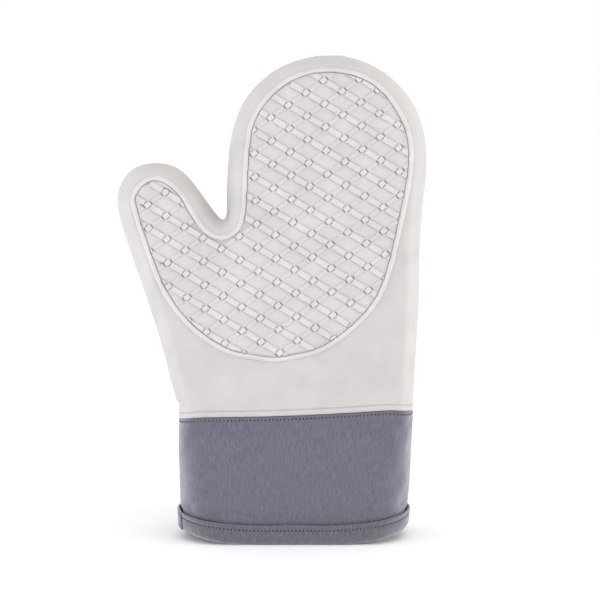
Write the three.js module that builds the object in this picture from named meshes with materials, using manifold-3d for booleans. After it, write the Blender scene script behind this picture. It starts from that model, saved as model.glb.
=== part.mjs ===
// Oven mitt: a moulded silicone hand part sewn to a woven cuff, with wadding and a cotton lining inside.
//
// Millimetres. The mitt stands on its hem: +Z runs to the fingertips, the grip face looks along -Y
// and the thumb points to -X. The origin is under the middle of the mitt, on the surface it stands on.
//
// Every layer is cut from one family of nested envelopes: envelope(inset) is the whole mitt, cuff
// included, shrunk by inset. A shell is one envelope less a smaller one.

import * as THREE from 'three';
import { mergeVertices } from 'three/addons/utils/BufferGeometryUtils.js';
import Module from 'manifold-3d';

const wasm = await Module();
wasm.setup();

// ---- driving dimensions ----

const SKIRT = 40; // how far the envelopes run on below the mouth, so that every layer is open there

// Half of the mitt's depth falls in a straight line from the mouth to the fingertips.
const MOUTH_HALF_DEPTH = 33;
const DEPTH_TAPER = 0.062; // half depth lost per millimetre of height

// The edge between the two faces is a quarter ellipse. It is wider at the mouth, which is nearly oval.
const EDGE_WIDTH = 10;
const MOUTH_EDGE_WIDTH = 24;
const SHOULDER_HEIGHT = 76; // above this height the edge keeps EDGE_WIDTH
const EDGE_STEPS = 3;

// Layers, from the outside in.
const GAP = 0.3;
const SILICONE = 1.8;
const WADDING = 3;
const LINING = 1.2;
const WADDING_INSET = SILICONE + GAP;
const LINING_INSET = WADDING_INSET + WADDING + GAP;
const CAVITY_INSET = LINING_INSET + LINING;

// Where the cuff is sewn on.
const CUFF_INSET = 0.2;
const CUFF_CLOTH = 1.5;
const FLANGE_INSET = CUFF_INSET + CUFF_CLOTH + GAP;
const FLANGE = 1.2;
const FLANGE_DEPTH = 10;
const LIP_HEIGHT = 3.4;
const CUFF_WADDING_INSET = FLANGE_INSET + FLANGE + GAP;

// The hem binding is folded round the mouth, outside and in.
const BINDING = 1.2;
const BINDING_HEIGHT = 12;
const BINDING_FOLD = 1.5;
const LAP_WIDTH = 5;
const LAP_RISE = 1;

const THREAD = 0.8;
const SEAM_STITCH_DROP = 2; // below the cuff's top edge
const HEM_STITCH_DROP = 2.4; // below the binding's top edge

const BEAD_WIDTH = 3;
const BEAD_HEIGHT = 1.2;
const BEAD_ROOT = 1; // how far the bead is sunk into the wall
const BEAD_CHAMFER = 0.7;

const MIDDLE_X = 14; // the cuff is centred here, under the fingers and not under the thumb
const CUFF_HALF_WIDTH = 72;

// The cuff's top edge: how far it climbs across, sags in the middle and drops at the side seams.
const SEAM_HEIGHT = 78.3;
const SEAM_CLIMB = 0.038; // per millimetre across
const SEAM_SAG = 1.6;
const SEAM_DROP = 3.2;
const SEAM_DROP_SHARPNESS = 12;

// The mouth's edge rises at both sides, beyond this share of the half width.
const MOUTH_LEVEL_SHARE = 0.4;
const MOUTH_RISE = 12;
const SIDES = { palm: -1, back: 1 };

// ---- outlines, in the plane of the mitt (x, height) ----

function points(...pairs) {
  return pairs.map(([x, height]) => new THREE.Vector2(x, height));
}

// The mitt seen flat: up the heel of the hand, round the thumb, into the crook, round the fingers.
function mittOutline() {
  const outline = new THREE.Shape();
  outline.moveTo(-57, -SKIRT);
  outline.lineTo(-57.4, 0);
  outline.lineTo(-58, SHOULDER_HEIGHT);
  outline.splineThru(points(
    [-63, 97], [-71, 127], [-80.5, 156], [-89, 181], [-95.4, 202], [-95.2, 217],
    [-86.5, 229.5], [-72, 233.2], [-59, 230.2], [-50, 222],
  ));
  outline.lineTo(-33.6, 199.6);
  outline.quadraticCurveTo(-28.6, 192.6, -27.9, 201);
  outline.splineThru(points(
    [-27.8, 221], [-25.2, 249], [-15.5, 274], [7, 293.3], [40, 300], [70, 289.2],
    [90, 266], [96.5, 237], [94, 207], [92, 178], [91.8, 148], [89.8, 112], [88, SHOULDER_HEIGHT],
  ));
  outline.lineTo(86.4, 0);
  outline.lineTo(85.5, -SKIRT);
  return outline;
}

// The bead that frames the grip panel, about one edge width inside the outline on the hand part.
function beadOutline() {
  const start = [1.5, 112.5];
  const bead = new THREE.Shape();
  bead.moveTo(...start);
  bead.splineThru(points(
    [-26, 117.5], [-49, 133], [-64, 152], [-74, 175], [-82, 199], [-84.3, 213],
    [-72, 223.2], [-57, 215], [-42, 192], [-29, 186.2], [-18, 196], [-15.5, 228],
    [-11, 259], [9, 281.8], [36, 289], [63, 281], [81, 258], [85.3, 232], [78, 192],
    [68.5, 157], [54, 136], [29, 118], start,
  ));
  return bead;
}

// ---- heights that vary across the mitt ----

function across(x) {
  return (x - MIDDLE_X) / CUFF_HALF_WIDTH;
}

// The cuff's top edge climbs a little towards the little finger.
function seamHeight(x) {
  const share = Math.min(1, Math.abs(across(x)));
  const climb = SEAM_CLIMB * (x - MIDDLE_X);
  return SEAM_HEIGHT + climb + SEAM_SAG * share ** 2 - SEAM_DROP * share ** SEAM_DROP_SHARPNESS;
}

// The mouth's edge is level in the middle, where the mitt stands, and rises to both sides.
function mouthHeight(x) {
  return MOUTH_RISE * Math.max(0, Math.abs(across(x)) - MOUTH_LEVEL_SHARE) ** 1.5;
}

// ---- solids ----

function solidOf(geometry) {
  const bare = geometry.clone();
  bare.deleteAttribute('normal');
  bare.deleteAttribute('uv');
  const merged = mergeVertices(bare, 1e-4);
  return new wasm.Manifold(new wasm.Mesh({
    numProp: 3,
    vertProperties: Float32Array.from(merged.attributes.position.array),
    triVerts: Uint32Array.from(merged.index.array),
  }));
}

function geometryOf(solid) {
  const mesh = solid.getMesh();
  const geometry = new THREE.BufferGeometry();
  geometry.setAttribute('position', new THREE.BufferAttribute(mesh.vertProperties, mesh.numProp));
  geometry.setIndex(new THREE.BufferAttribute(mesh.triVerts, 1));
  geometry.computeVertexNormals();
  return geometry;
}

// Half of the envelope's depth at a height, before any inset.
function halfDepth(height) {
  return MOUTH_HALF_DEPTH - DEPTH_TAPER * height;
}

// The extruded outline has unit depth to each side. This stands it up, gives it the true depth at
// each height, and widens its rounded edges towards the mouth.
function swell(geometry, inset) {
  const place = geometry.attributes.position;
  for (let i = 0; i < place.count; i += 1) {
    const height = place.getY(i);
    const share = Math.min(1, Math.abs(place.getZ(i)));
    const side = Math.sign(place.getZ(i));
    const edgeShare = 1 - Math.sqrt(1 - share ** 2);
    const drop = Math.max(0, SHOULDER_HEIGHT - height) / SHOULDER_HEIGHT;
    const widening = (MOUTH_EDGE_WIDTH - EDGE_WIDTH) * drop * edgeShare;
    const x = place.getX(i) - Math.sign(place.getX(i) - MIDDLE_X) * widening;
    place.setXYZ(i, x, -side * share * (halfDepth(height) - inset), height);
  }
  return geometry;
}

function envelope(inset) {
  const rim = 0.02;
  const geometry = new THREE.ExtrudeGeometry(mittOutline(), {
    curveSegments: 2,
    depth: rim,
    bevelThickness: 1 - rim / 2,
    bevelSize: EDGE_WIDTH,
    bevelOffset: -EDGE_WIDTH - inset,
    bevelSegments: EDGE_STEPS,
  });
  geometry.translate(0, 0, -rim / 2);
  return solidOf(swell(geometry, inset));
}

function shell(outerInset, innerInset) {
  return envelope(outerInset).subtract(envelope(innerInset));
}

// Everything between two heights, each a function of x, on one side of the mid-plane or on both.
function slab(low, high, side = 0) {
  const reach = 130;
  const stations = 52;
  const outline = new THREE.Shape();
  const xs = Array.from({ length: stations + 1 }, (_, i) => reach * (2 * i / stations - 1));
  outline.moveTo(-reach, low(-reach));
  xs.forEach((x) => outline.lineTo(x, low(x)));
  xs.reverse().forEach((x) => outline.lineTo(x, high(x)));
  const geometry = new THREE.ExtrudeGeometry(outline, {
    depth: side === 0 ? 2 * reach : reach,
    bevelEnabled: false,
  });
  geometry.rotateX(Math.PI / 2);
  const nearY = { [-1]: -GAP / 2, 0: reach, 1: reach + GAP / 2 }[side];
  geometry.translate(0, nearY, 0);
  return solidOf(geometry);
}

function level(height) {
  return () => height;
}

function above(curve, rise) {
  return (x) => curve(x) + rise;
}

const TOP = level(400);

// The plate inside the outline moved by offset, from a depth under the flat face to a rise above it.
// It follows the face, which slopes because the mitt gets thinner upwards.
function facePlate(offset, sunk, rise, chamfer) {
  const geometry = new THREE.ExtrudeGeometry(beadOutline(), {
    curveSegments: 2,
    depth: sunk + rise - chamfer,
    bevelThickness: chamfer,
    bevelSize: chamfer,
    bevelOffset: offset - chamfer,
    bevelSegments: 1,
  });
  const place = geometry.attributes.position;
  for (let i = 0; i < place.count; i += 1) {
    const height = place.getY(i);
    place.setXYZ(i, place.getX(i), -(halfDepth(height) + place.getZ(i) - sunk), height);
  }
  return solidOf(geometry);
}

// The cutter that opens the plate into a ring reaches past it at both ends, so that no film is left.
function bead(side) {
  const plate = facePlate(BEAD_WIDTH / 2, BEAD_ROOT, BEAD_HEIGHT, BEAD_CHAMFER);
  const cutter = facePlate(-BEAD_WIDTH / 2, 3 * BEAD_ROOT, 3 * BEAD_HEIGHT, BEAD_CHAMFER);
  const ring = plate.subtract(cutter);
  return side < 0 ? ring : ring.scale([1, -1, 1]);
}

// Half of the silicone: the wall, the bead, the thick lip and the flange under the cuff.
function siliconeShell(side) {
  const wall = shell(0, SILICONE);
  const lip = shell(0, FLANGE_INSET + FLANGE);
  const flange = shell(FLANGE_INSET, FLANGE_INSET + FLANGE);
  const lipFoot = above(seamHeight, GAP);
  const lipTop = above(seamHeight, GAP + LIP_HEIGHT);
  return wall.intersect(slab(lipFoot, TOP, side))
    .add(lip.intersect(slab(lipFoot, lipTop, side)))
    .add(flange.intersect(slab(above(seamHeight, -FLANGE_DEPTH), lipTop, side)))
    .add(bead(side));
}

// Wadding fills the hand part, and is thinner in the cuff, where it passes inside the flange.
function wadding(side) {
  const step = above(seamHeight, LIP_HEIGHT + 3 * GAP);
  const hand = envelope(WADDING_INSET).intersect(slab(step, TOP, side));
  const cuff = envelope(CUFF_WADDING_INSET)
    .intersect(slab(above(mouthHeight, BINDING_FOLD + GAP), above(step, GAP), side));
  return hand.add(cuff).subtract(envelope(WADDING_INSET + WADDING));
}

function lining(side) {
  return shell(LINING_INSET, CAVITY_INSET)
    .intersect(slab(above(mouthHeight, BINDING_FOLD + GAP), TOP, side));
}

function cuffPanel(side) {
  return shell(CUFF_INSET, CUFF_INSET + CUFF_CLOTH)
    .intersect(slab(above(mouthHeight, BINDING_FOLD + GAP), seamHeight, side));
}

// One folded strip round the mouth. Its end is lapped over its start at the thumb side.
function hemBinding() {
  const channelOuter = CUFF_INSET - GAP;
  const channelInner = CAVITY_INSET + GAP;
  const top = above(mouthHeight, BINDING_HEIGHT);
  const body = shell(channelOuter - BINDING, channelInner + BINDING).intersect(slab(mouthHeight, top));
  const channel = shell(channelOuter, channelInner)
    .intersect(slab(above(mouthHeight, BINDING_FOLD), TOP));
  const palmSide = 100;
  const lapEnd = MIDDLE_X - CUFF_HALF_WIDTH + LAP_WIDTH;
  const lapEdge = new THREE.BoxGeometry(palmSide, palmSide, palmSide)
    .translate(lapEnd - palmSide / 2, -palmSide / 2, 0);
  const lap = shell(channelOuter - 2 * BINDING, channelOuter - BINDING / 2)
    .intersect(slab(above(mouthHeight, BINDING_FOLD), above(top, LAP_RISE)))
    .intersect(solidOf(lapEdge))
    .subtract(stitchRow(channelOuter - BINDING, top, HEM_STITCH_DROP, GAP));
  return body.subtract(channel).add(lap);
}

// A row of stitches, as one cord laid on the cloth just under an edge. With some room round it, it is
// the dent that the cord presses into a second layer of cloth.
function stitchRow(surfaceInset, edge, drop, room = 0) {
  return shell(surfaceInset - GAP - THREAD - room, surfaceInset - GAP + room)
    .intersect(slab(above(edge, -drop - THREAD - room), above(edge, -drop + room)));
}

// The turned-in edges and the thread of the seam that joins the two cuff panels at one side.
function sideSeam(direction) {
  const depth = 1;
  const box = new THREE.BoxGeometry(60, depth, 200).translate(MIDDLE_X + direction * 70, 0, 100);
  return shell(FLANGE_INSET, FLANGE_INSET + FLANGE)
    .intersect(slab(above(mouthHeight, BINDING_FOLD + GAP), above(seamHeight, -FLANGE_DEPTH - GAP)))
    .intersect(solidOf(box));
}

// ---- materials and assembly ----

const MATERIALS = {
  silicone: new THREE.MeshStandardMaterial({ color: 0xcfc9c3, roughness: 0.55, metalness: 0 }),
  cuffCloth: new THREE.MeshStandardMaterial({ color: 0x77767e, roughness: 0.9, metalness: 0 }),
  bindingCloth: new THREE.MeshStandardMaterial({ color: 0x6f6e76, roughness: 0.9, metalness: 0 }),
  wadding: new THREE.MeshStandardMaterial({ color: 0xe9e6df, roughness: 1, metalness: 0 }),
  lining: new THREE.MeshStandardMaterial({ color: 0xb9b7b6, roughness: 0.95, metalness: 0 }),
  thread: new THREE.MeshStandardMaterial({ color: 0x4b4a50, roughness: 0.8, metalness: 0 }),
};

const mitt = new THREE.Group();

function add(name, solid, material) {
  const mesh = new THREE.Mesh(geometryOf(solid), material);
  mesh.name = name;
  mitt.add(mesh);
}

Object.entries(SIDES).forEach(([name, side]) => {
  add(`silicone_${name}_shell`, siliconeShell(side), MATERIALS.silicone);
  add(`wadding_${name}`, wadding(side), MATERIALS.wadding);
  add(`lining_${name}`, lining(side), MATERIALS.lining);
  add(`cuff_${name}_panel`, cuffPanel(side), MATERIALS.cuffCloth);
});
add('hem_binding', hemBinding(), MATERIALS.bindingCloth);
add('cuff_seam_thread', stitchRow(CUFF_INSET, seamHeight, SEAM_STITCH_DROP), MATERIALS.thread);
add(
  'hem_thread',
  stitchRow(CUFF_INSET - GAP - BINDING, above(mouthHeight, BINDING_HEIGHT), HEM_STITCH_DROP),
  MATERIALS.thread,
);
add('cuff_side_seam_left', sideSeam(-1), MATERIALS.thread);
add('cuff_side_seam_right', sideSeam(1), MATERIALS.thread);

export default mitt;
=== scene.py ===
import math

import bmesh
import bpy
import numpy as np
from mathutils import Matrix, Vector
from mathutils.geometry import delaunay_2d_cdt


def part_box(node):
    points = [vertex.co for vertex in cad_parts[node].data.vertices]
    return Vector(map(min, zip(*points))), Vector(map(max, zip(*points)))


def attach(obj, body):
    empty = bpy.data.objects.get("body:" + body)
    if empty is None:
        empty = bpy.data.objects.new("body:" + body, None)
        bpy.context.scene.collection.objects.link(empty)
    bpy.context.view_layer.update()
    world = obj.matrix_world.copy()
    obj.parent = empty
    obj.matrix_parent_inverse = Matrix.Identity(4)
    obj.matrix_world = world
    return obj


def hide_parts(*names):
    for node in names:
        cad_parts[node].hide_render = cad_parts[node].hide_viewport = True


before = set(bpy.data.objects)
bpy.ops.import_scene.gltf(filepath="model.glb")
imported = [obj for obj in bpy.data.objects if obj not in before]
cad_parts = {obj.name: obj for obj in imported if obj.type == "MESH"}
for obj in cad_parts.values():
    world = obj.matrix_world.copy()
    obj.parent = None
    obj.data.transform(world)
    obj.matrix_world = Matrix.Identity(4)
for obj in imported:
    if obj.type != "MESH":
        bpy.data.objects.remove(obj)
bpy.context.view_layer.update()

MM = 0.001

# ---- Sizes ----

# The layers and their insets repeat the CAD's driving dimensions. The cuff's cloth, the edge widths, the
# bead's height and the lap's width differ a little from the CAD, for the look.

GAP = 0.3 * MM
PARTING = GAP / 2
SILICONE = 1.8 * MM
WADDING = 3 * MM
LINING = 1.2 * MM
CUFF_CLOTH = 1.1 * MM
CUFF_INSET = 0.2 * MM
LINING_INSET = 5.4 * MM
CUFF_WADDING_INSET = 3.5 * MM
LINER_FOOT = 2.4 * MM

BINDING = 1.2 * MM
BINDING_HEIGHT = 12 * MM
LAP_CLOTH = 0.7 * MM
DEPTH_TAPER = 0.062
MOUTH_HALF_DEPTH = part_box("hem_binding")[1].y - BINDING - CUFF_INSET + GAP

EDGE_WIDTH = 11 * MM
MOUTH_EDGE_WIDTH = 26 * MM
MOUTH_RISE = 12 * MM
MOUTH_LEVEL_SHARE = 0.4
CROWN = 1.6 * MM
CROWN_REACH = 30 * MM

# The silicone's foot: a lip, and a moulded groove above it.
LIP_ROWS_MM = (0, 0.25, 0.7, 2.6, 3.05, 3.3, 3.55, 3.8, 4.3, 6, 9)

# The grip lattice isn't in the CAD. One crossing lies this far in from and below the silicone's top
# corner, and the bars repeat from there along two slanted directions, with a knot at each crossing.
LATTICE_FROM_CORNER = Vector((64.257 * MM, 17.153 * MM))
SILICONE_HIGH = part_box("silicone_palm_shell")[1]
LATTICE_CROSSING = Vector((SILICONE_HIGH.x, SILICONE_HIGH.z)) - LATTICE_FROM_CORNER
LATTICE_A = Vector((11.31 * MM, -6.73 * MM))
LATTICE_B = Vector((10.75 * MM, 7.59 * MM))
A_AXIS, B_AXIS = np.array(LATTICE_A.normalized()), np.array(LATTICE_B.normalized())
BEAD_WIDTH = 3.0 * MM
BEAD_HEIGHT = 1.55 * MM

STITCH_PITCH = 2.3 * MM

SILICONE_DEEP = (0.515, 0.492, 0.482)
SILICONE_PALE = (0.568, 0.542, 0.531)


# ---- Reading the outlines from the frame ----

def region_loops(node, in_region):
    """The closed borders of the faces of a CAD node whose corners all pass the test, as point arrays."""
    mesh = bmesh.new()
    mesh.from_mesh(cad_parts[node].data)
    bmesh.ops.remove_doubles(mesh, verts=mesh.verts, dist=0.01 * MM)
    faces = {f for f in mesh.faces if all(in_region(v.co) for v in f.verts)}
    links = {}
    for edge in mesh.edges:
        if sum(f in faces for f in edge.link_faces) == 1:
            a, b = edge.verts
            links.setdefault(a, []).append(b)
            links.setdefault(b, []).append(a)
    loops = []
    while links:
        loop = [next(iter(links))]
        while True:
            onward = [v for v in links.pop(loop[-1]) if v in links]
            if not onward:
                break
            loop.append(onward[0])
        loops.append(np.array([v.co for v in loop]))
    mesh.free()
    return loops


def in_mid_plane(point):
    return abs(abs(point.y) - PARTING) < 0.02 * MM


def path_between(loop, start, end):
    """The way round a closed loop from one index to another that passes over its highest point."""
    n = len(loop)
    forward = [(start + k) % n for k in range((end - start) % n + 1)]
    backward = [(start - k) % n for k in range((start - end) % n + 1)]
    top = int(np.argmax(loop[:, 2]))
    return loop[forward if top in forward else backward]


def smooth_path(points, spacing, closed=False):
    """Catmull-Rom through the points, resampled at an even spacing."""
    points = np.asarray(points, float)
    if closed:
        padded = np.vstack([points[-1:], points, points[:2]])
    else:
        padded = np.vstack([2 * points[:1] - points[1:2], points, 2 * points[-1:] - points[-2:-1]])
    fine = []
    for p0, p1, p2, p3 in zip(padded, padded[1:], padded[2:], padded[3:]):
        for t in np.linspace(0, 1, 12, endpoint=False):
            fine.append(0.5 * (2 * p1 + (p2 - p0) * t + (2 * p0 - 5 * p1 + 4 * p2 - p3) * t * t
                               + (3 * p1 - p0 - 3 * p2 + p3) * t ** 3))
    fine.append(points[0] if closed else points[-1])
    fine = np.array(fine)
    walked = np.concatenate([[0], np.cumsum(np.linalg.norm(np.diff(fine, axis=0), axis=1))])
    count = max(3, int(round(walked[-1] / spacing)))
    places = np.linspace(0, walked[-1], count + 1)
    if closed:
        places = places[:-1]
    return np.column_stack([np.interp(places, walked, fine[:, k]) for k in range(fine.shape[1])])


def hand_outline():
    """The silicone's edge in the mid-plane, from the thumb side's foot over the fingertips, as (x, z)."""
    loop = max(region_loops("silicone_palm_shell", in_mid_plane), key=len)
    lip_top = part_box("cuff_palm_panel")[1].z + 3 * MM
    feet = []
    for side in (-1, 1):
        low = [k for k in range(len(loop)) if side * loop[k, 0] > 0 and loop[k, 2] < lip_top]
        outermost = max(side * loop[k, 0] for k in low)
        near = [k for k in low if side * loop[k, 0] > outermost - 0.8 * MM]
        feet.append(min(near, key=lambda k: loop[k, 2]))
    return path_between(loop, feet[0], feet[1])[:, (0, 2)]


def cuff_sides():
    """The cuff's outer edge at each side as a line x(z), from the cuff panel's two side faces."""
    lines = {}
    for loop in region_loops("cuff_palm_panel", in_mid_plane):
        side = math.copysign(1, loop[:, 0].mean() - HAND[:, 0].mean())
        outer = loop[np.argsort(side * loop[:, 0])][-2:]
        slope, start = np.polyfit(outer[:, 2], outer[:, 0] + side * CUFF_INSET, 1)
        lines[side] = (slope, start)
    return lines


HAND = hand_outline()
SIDE_LINES = cuff_sides()


def side_x(side, z):
    slope, start = SIDE_LINES[side]
    return start + slope * z


def eased(path, reach):
    """A path of points 1 mm apart with its corners eased by a bell-shaped average. The ends stay put."""
    n = int(3 * reach / MM)
    weights = np.exp(-0.5 * (np.arange(-n, n + 1) * MM / reach) ** 2)
    weights /= weights.sum()
    before = 2 * path[0] - path[n:0:-1]
    after = 2 * path[-1] - path[-2:-n - 2:-1]
    padded = np.vstack([before, path, after])
    return np.column_stack([np.convolve(column, weights, "valid") for column in padded.T])


def seam_curve():
    """The cuff's top edge as points (x, z), from the upward faces of the cuff panel in the CAD."""
    mesh = bmesh.new()
    mesh.from_mesh(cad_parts["cuff_palm_panel"].data)
    mesh.normal_update()
    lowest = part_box("cuff_palm_panel")[1].z - 12 * MM
    top = {(round(v.co.x, 4), round(v.co.z, 5)) for f in mesh.faces if f.normal.z > 0.5
           for v in f.verts if v.co.z > lowest}
    mesh.free()
    points = np.array(sorted(top))
    x = np.arange(points[0, 0], points[-1, 0], 1 * MM)
    return eased(np.column_stack([x, np.interp(x, points[:, 0], points[:, 1])]), 3 * MM)


SEAM = seam_curve()


def seam_height(x):
    return np.interp(x, SEAM[:, 0], SEAM[:, 1])


MIDDLE_X = (side_x(-1, 0) + side_x(1, 0)) / 2
HALF_WIDTH = (side_x(1, 0) - side_x(-1, 0)) / 2
SHOULDER = float(seam_height(MIDDLE_X))


def mouth_height(x):
    """The hem is level in the middle and rises to both sides."""
    share = np.abs((np.asarray(x) - MIDDLE_X) / HALF_WIDTH)
    return MOUTH_RISE * np.maximum(0, share - MOUTH_LEVEL_SHARE) ** 1.5


def whole_outline():
    """The mitt's edge, seen flat: the cuff's side lines below the hand's outline."""
    left, right = ([(side_x(side, z), z) for z in (0, 40 * MM)] for side in (-1, 1))
    return eased(smooth_path(np.vstack([left, HAND, right[::-1]]), 1 * MM), 3 * MM)


OUTLINE = whole_outline()


def distance_inside(x, z):
    """How far each point lies from the mitt's edge, seen flat."""
    x, z = np.atleast_1d(x), np.atleast_1d(z)
    nearest = np.empty(len(x))
    for k in range(0, len(x), 2000):
        part = slice(k, k + 2000)
        gap = (x[part, None] - OUTLINE[None, :, 0]) ** 2 + (z[part, None] - OUTLINE[None, :, 1]) ** 2
        nearest[part] = np.sqrt(gap.min(1))
    return nearest


def smoothstep(t):
    t = np.clip(t, 0, 1)
    return t * t * (3 - 2 * t)


def edge_width(z):
    drop = np.clip((SHOULDER - z) / SHOULDER, 0, 1)
    return EDGE_WIDTH + (MOUTH_EDGE_WIDTH - EDGE_WIDTH) * drop


def flat_depth(x, z, d):
    """Half of the mitt's depth over the flat of each face, with a slight crown and a slimmer thumb."""
    thumb = smoothstep((-20 * MM - x) / (40 * MM)) * smoothstep((z - 150 * MM) / (50 * MM))
    crown = CROWN * (1 - np.exp(-(d / CROWN_REACH) ** 2))
    return MOUTH_HALF_DEPTH - DEPTH_TAPER * z + crown - 2.5 * MM * thumb


def surface_depth(x, z, d, inset=0.0):
    """How far the surface at an inset stands from the mid-plane, d inside the edge."""
    t = np.clip((d - inset) / edge_width(z), 0, 1)
    return (flat_depth(x, z, d) - inset) * np.sqrt(1 - (1 - t) ** 2)


def depth_on_face(x, z):
    return surface_depth(x, z, distance_inside(x, z))


# ---- Mesh helpers ----

def linked(obj):
    bpy.context.scene.collection.objects.link(obj)
    return obj


def make_object(name, vertices, faces, weave=None):
    """A mesh object. weave gives each vertex its place in the cloth, in metres across and along."""
    mesh = bpy.data.meshes.new(name)
    mesh.from_pydata([tuple(v) for v in vertices], [], [tuple(int(k) for k in f) for f in faces])
    if weave is not None:
        layer = mesh.uv_layers.new(name="weave")
        corners = np.empty(len(mesh.loops), dtype=np.int32)
        mesh.loops.foreach_get("vertex_index", corners)
        layer.data.foreach_set("uv", np.asarray(weave, dtype=np.float32)[corners].ravel())
    mesh.validate()
    mesh.update()
    return linked(bpy.data.objects.new(name, mesh))


def grid_faces(rows, columns, closed_rows=False, closed_columns=False, start=0):
    """Quads over a rows by columns array of vertices."""
    faces = []
    for r in range(rows if closed_rows else rows - 1):
        for c in range(columns if closed_columns else columns - 1):
            r2, c2 = (r + 1) % rows, (c + 1) % columns
            faces.append((start + r * columns + c, start + r * columns + c2,
                          start + r2 * columns + c2, start + r2 * columns + c))
    return faces


class Parts:
    """Collects the vertices, faces and weave coordinates of the islands of one piece."""

    def __init__(self):
        self.vertices = []
        self.faces = []
        self.weave = []
        self.material_index = []

    def add(self, vertices, faces, weave=None, material_index=0):
        start = len(self.vertices)
        self.vertices.extend(vertices)
        self.faces.extend([tuple(k + start for k in f) for f in faces])
        self.weave.extend([(v[0], v[2]) for v in vertices] if weave is None else weave)
        self.material_index.extend([material_index] * len(faces))

    def add_grid(self, grid, closed_rows=False, closed_columns=False, material_index=0):
        rows, columns = grid.shape[:2]
        steps = np.linalg.norm(np.diff(grid[rows // 2], axis=0), axis=1)
        along = np.tile(np.concatenate([[0], np.cumsum(steps)]), rows)
        weave = np.column_stack([along, grid[..., 2].ravel()])
        faces = grid_faces(rows, columns, closed_rows, closed_columns)
        self.add(list(grid.reshape(-1, 3)), faces, list(weave), material_index)

    def finish(self, name, body_slot, nodes, *materials):
        obj = make_object(name, self.vertices, self.faces, self.weave)
        obj.data.polygons.foreach_set("material_index", self.material_index)
        tidy(obj, weld=0.002 * MM)
        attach(obj, "root")
        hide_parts(*nodes)
        for material in materials:
            obj.data.materials.append(material)
        return obj


def tidy(obj, weld):
    """Welds doubles, drops slivers and points the faces outwards."""
    mesh = bmesh.new()
    mesh.from_mesh(obj.data)
    bmesh.ops.remove_doubles(mesh, verts=mesh.verts, dist=weld)
    bmesh.ops.dissolve_degenerate(mesh, edges=mesh.edges, dist=weld / 10)
    bmesh.ops.recalc_face_normals(mesh, faces=mesh.faces)
    for face in mesh.faces:
        face.smooth = True
    mesh.to_mesh(obj.data)
    mesh.free()
    obj.data.update()
    return obj


def thicken(vertices, faces, thickness):
    """A closed skin: the surface, a copy moved back along the vertex normals, and walls between them.
    The faces have to point outwards, and thickness(place) gives the skin's thickness there."""
    mesh = bmesh.new()
    made = [mesh.verts.new(v) for v in vertices]
    for face in faces:
        mesh.faces.new([made[k] for k in face])
    bmesh.ops.remove_doubles(mesh, verts=mesh.verts, dist=0.01 * MM)
    mesh.normal_update()
    mesh.verts.index_update()
    outer = [v.co.copy() for v in mesh.verts]
    inner = [v.co - v.normal * thickness(v.co) for v in mesh.verts]
    n = len(outer)
    skins = [tuple(v.index for v in f.verts) for f in mesh.faces]
    closed = skins + [tuple(k + n for k in reversed(f)) for f in skins]
    for edge in mesh.edges:
        if len(edge.link_faces) == 1:
            loop = edge.link_loops[0]
            a, b = loop.vert.index, loop.link_loop_next.vert.index
            closed.append((b, a, a + n, b + n))
    mesh.free()
    return outer + inner, closed


def mirrored(vertices, faces):
    return [Vector((v[0], -v[1], v[2])) for v in vertices], [tuple(reversed(f)) for f in faces]


# ---- One half of a layer of the hand ----

EDGE_RINGS = 11
FOOT_FADE = 14 * MM  # above the foot rows, the band stops following the foot's curve over this height
FOOT_SPACING = 2.5 * MM


def edge_line(foot, rows, spacing):
    """The mitt's edge from foot to foot over the fingertips, with a point for each foot row."""
    start = np.argmax(OUTLINE[:, 1] > foot(OUTLINE[0, 0]) + rows[-1])
    stop = len(OUTLINE) - np.argmax(OUTLINE[::-1, 1] > foot(OUTLINE[-1, 0]) + rows[-1])
    hand = smooth_path(OUTLINE[start:stop], spacing)
    left, right = ([foot_corner(side, foot, rise) for rise in rows] for side in (-1, 1))
    return np.vstack([left, hand[1:-1], right[::-1]])


def edge_inward(edge, feet):
    """Unit vectors into the mitt along its edge, level beside the foot rows."""
    tangent = np.gradient(edge, axis=0)
    tangent /= np.linalg.norm(tangent, axis=1)[:, None]
    inward = np.column_stack([tangent[:, 1], -tangent[:, 0]])
    inward[:feet] = (1, 0)
    inward[-feet:] = (-1, 0)
    for _ in range(2):
        middle = inward[1:-1] + 0.5 * (inward[:-2] + inward[2:])
        inward[1:-1] = middle / np.linalg.norm(middle, axis=1)[:, None]
    return inward


def edge_band(edge, foot, rows, relief, inset):
    """The rolled edge, as rings from the mid-plane round to the flat of the face."""
    inward = edge_inward(edge, len(rows))
    width = edge_width(edge[:, 1])
    fade = 1 - smoothstep((edge[:, 1] - foot(edge[:, 0]) - rows[-1]) / FOOT_FADE)
    rings = []
    for angle in np.linspace(0, math.pi / 2, EDGE_RINGS):
        d = inset + width * (1 - math.cos(angle))
        flat = edge + inward * d[:, None]
        flat[:, 1] += (foot(flat[:, 0]) - foot(edge[:, 0])) * fade
        proud = relief(flat[:, 0], flat[:, 1])
        depth = (flat_depth(flat[:, 0], flat[:, 1], d) - inset + proud) * math.sin(angle)
        flat[:, 0] -= inward[:, 0] * (proud * math.cos(angle))
        rings.append(np.column_stack([flat[:, 0], -depth - PARTING, flat[:, 1]]))
    return np.array(rings)


def face_y(x, z, relief, inset):
    return -(surface_depth(x, z, distance_inside(x, z), inset) + relief(x, z)) - PARTING


def foot_patch(band, foot, rows, relief, inset):
    """The face between the two ends of the band, with a row of vertices for each foot row."""
    inner = band[-1]
    stations = max(8, int((inner[-1, 0] - inner[0, 0]) / FOOT_SPACING))
    grid = []
    for r, rise in enumerate(rows):
        start, end = inner[r], inner[-1 - r]
        x = np.linspace(start[0], end[0], stations + 1)
        z = foot(x) + rise
        z[0], z[-1] = start[2], end[2]
        y = face_y(x, z, relief, inset)
        y[0], y[-1] = start[1], end[1]
        grid.append(np.column_stack([x, y, z]))
    return np.array(grid)


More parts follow.
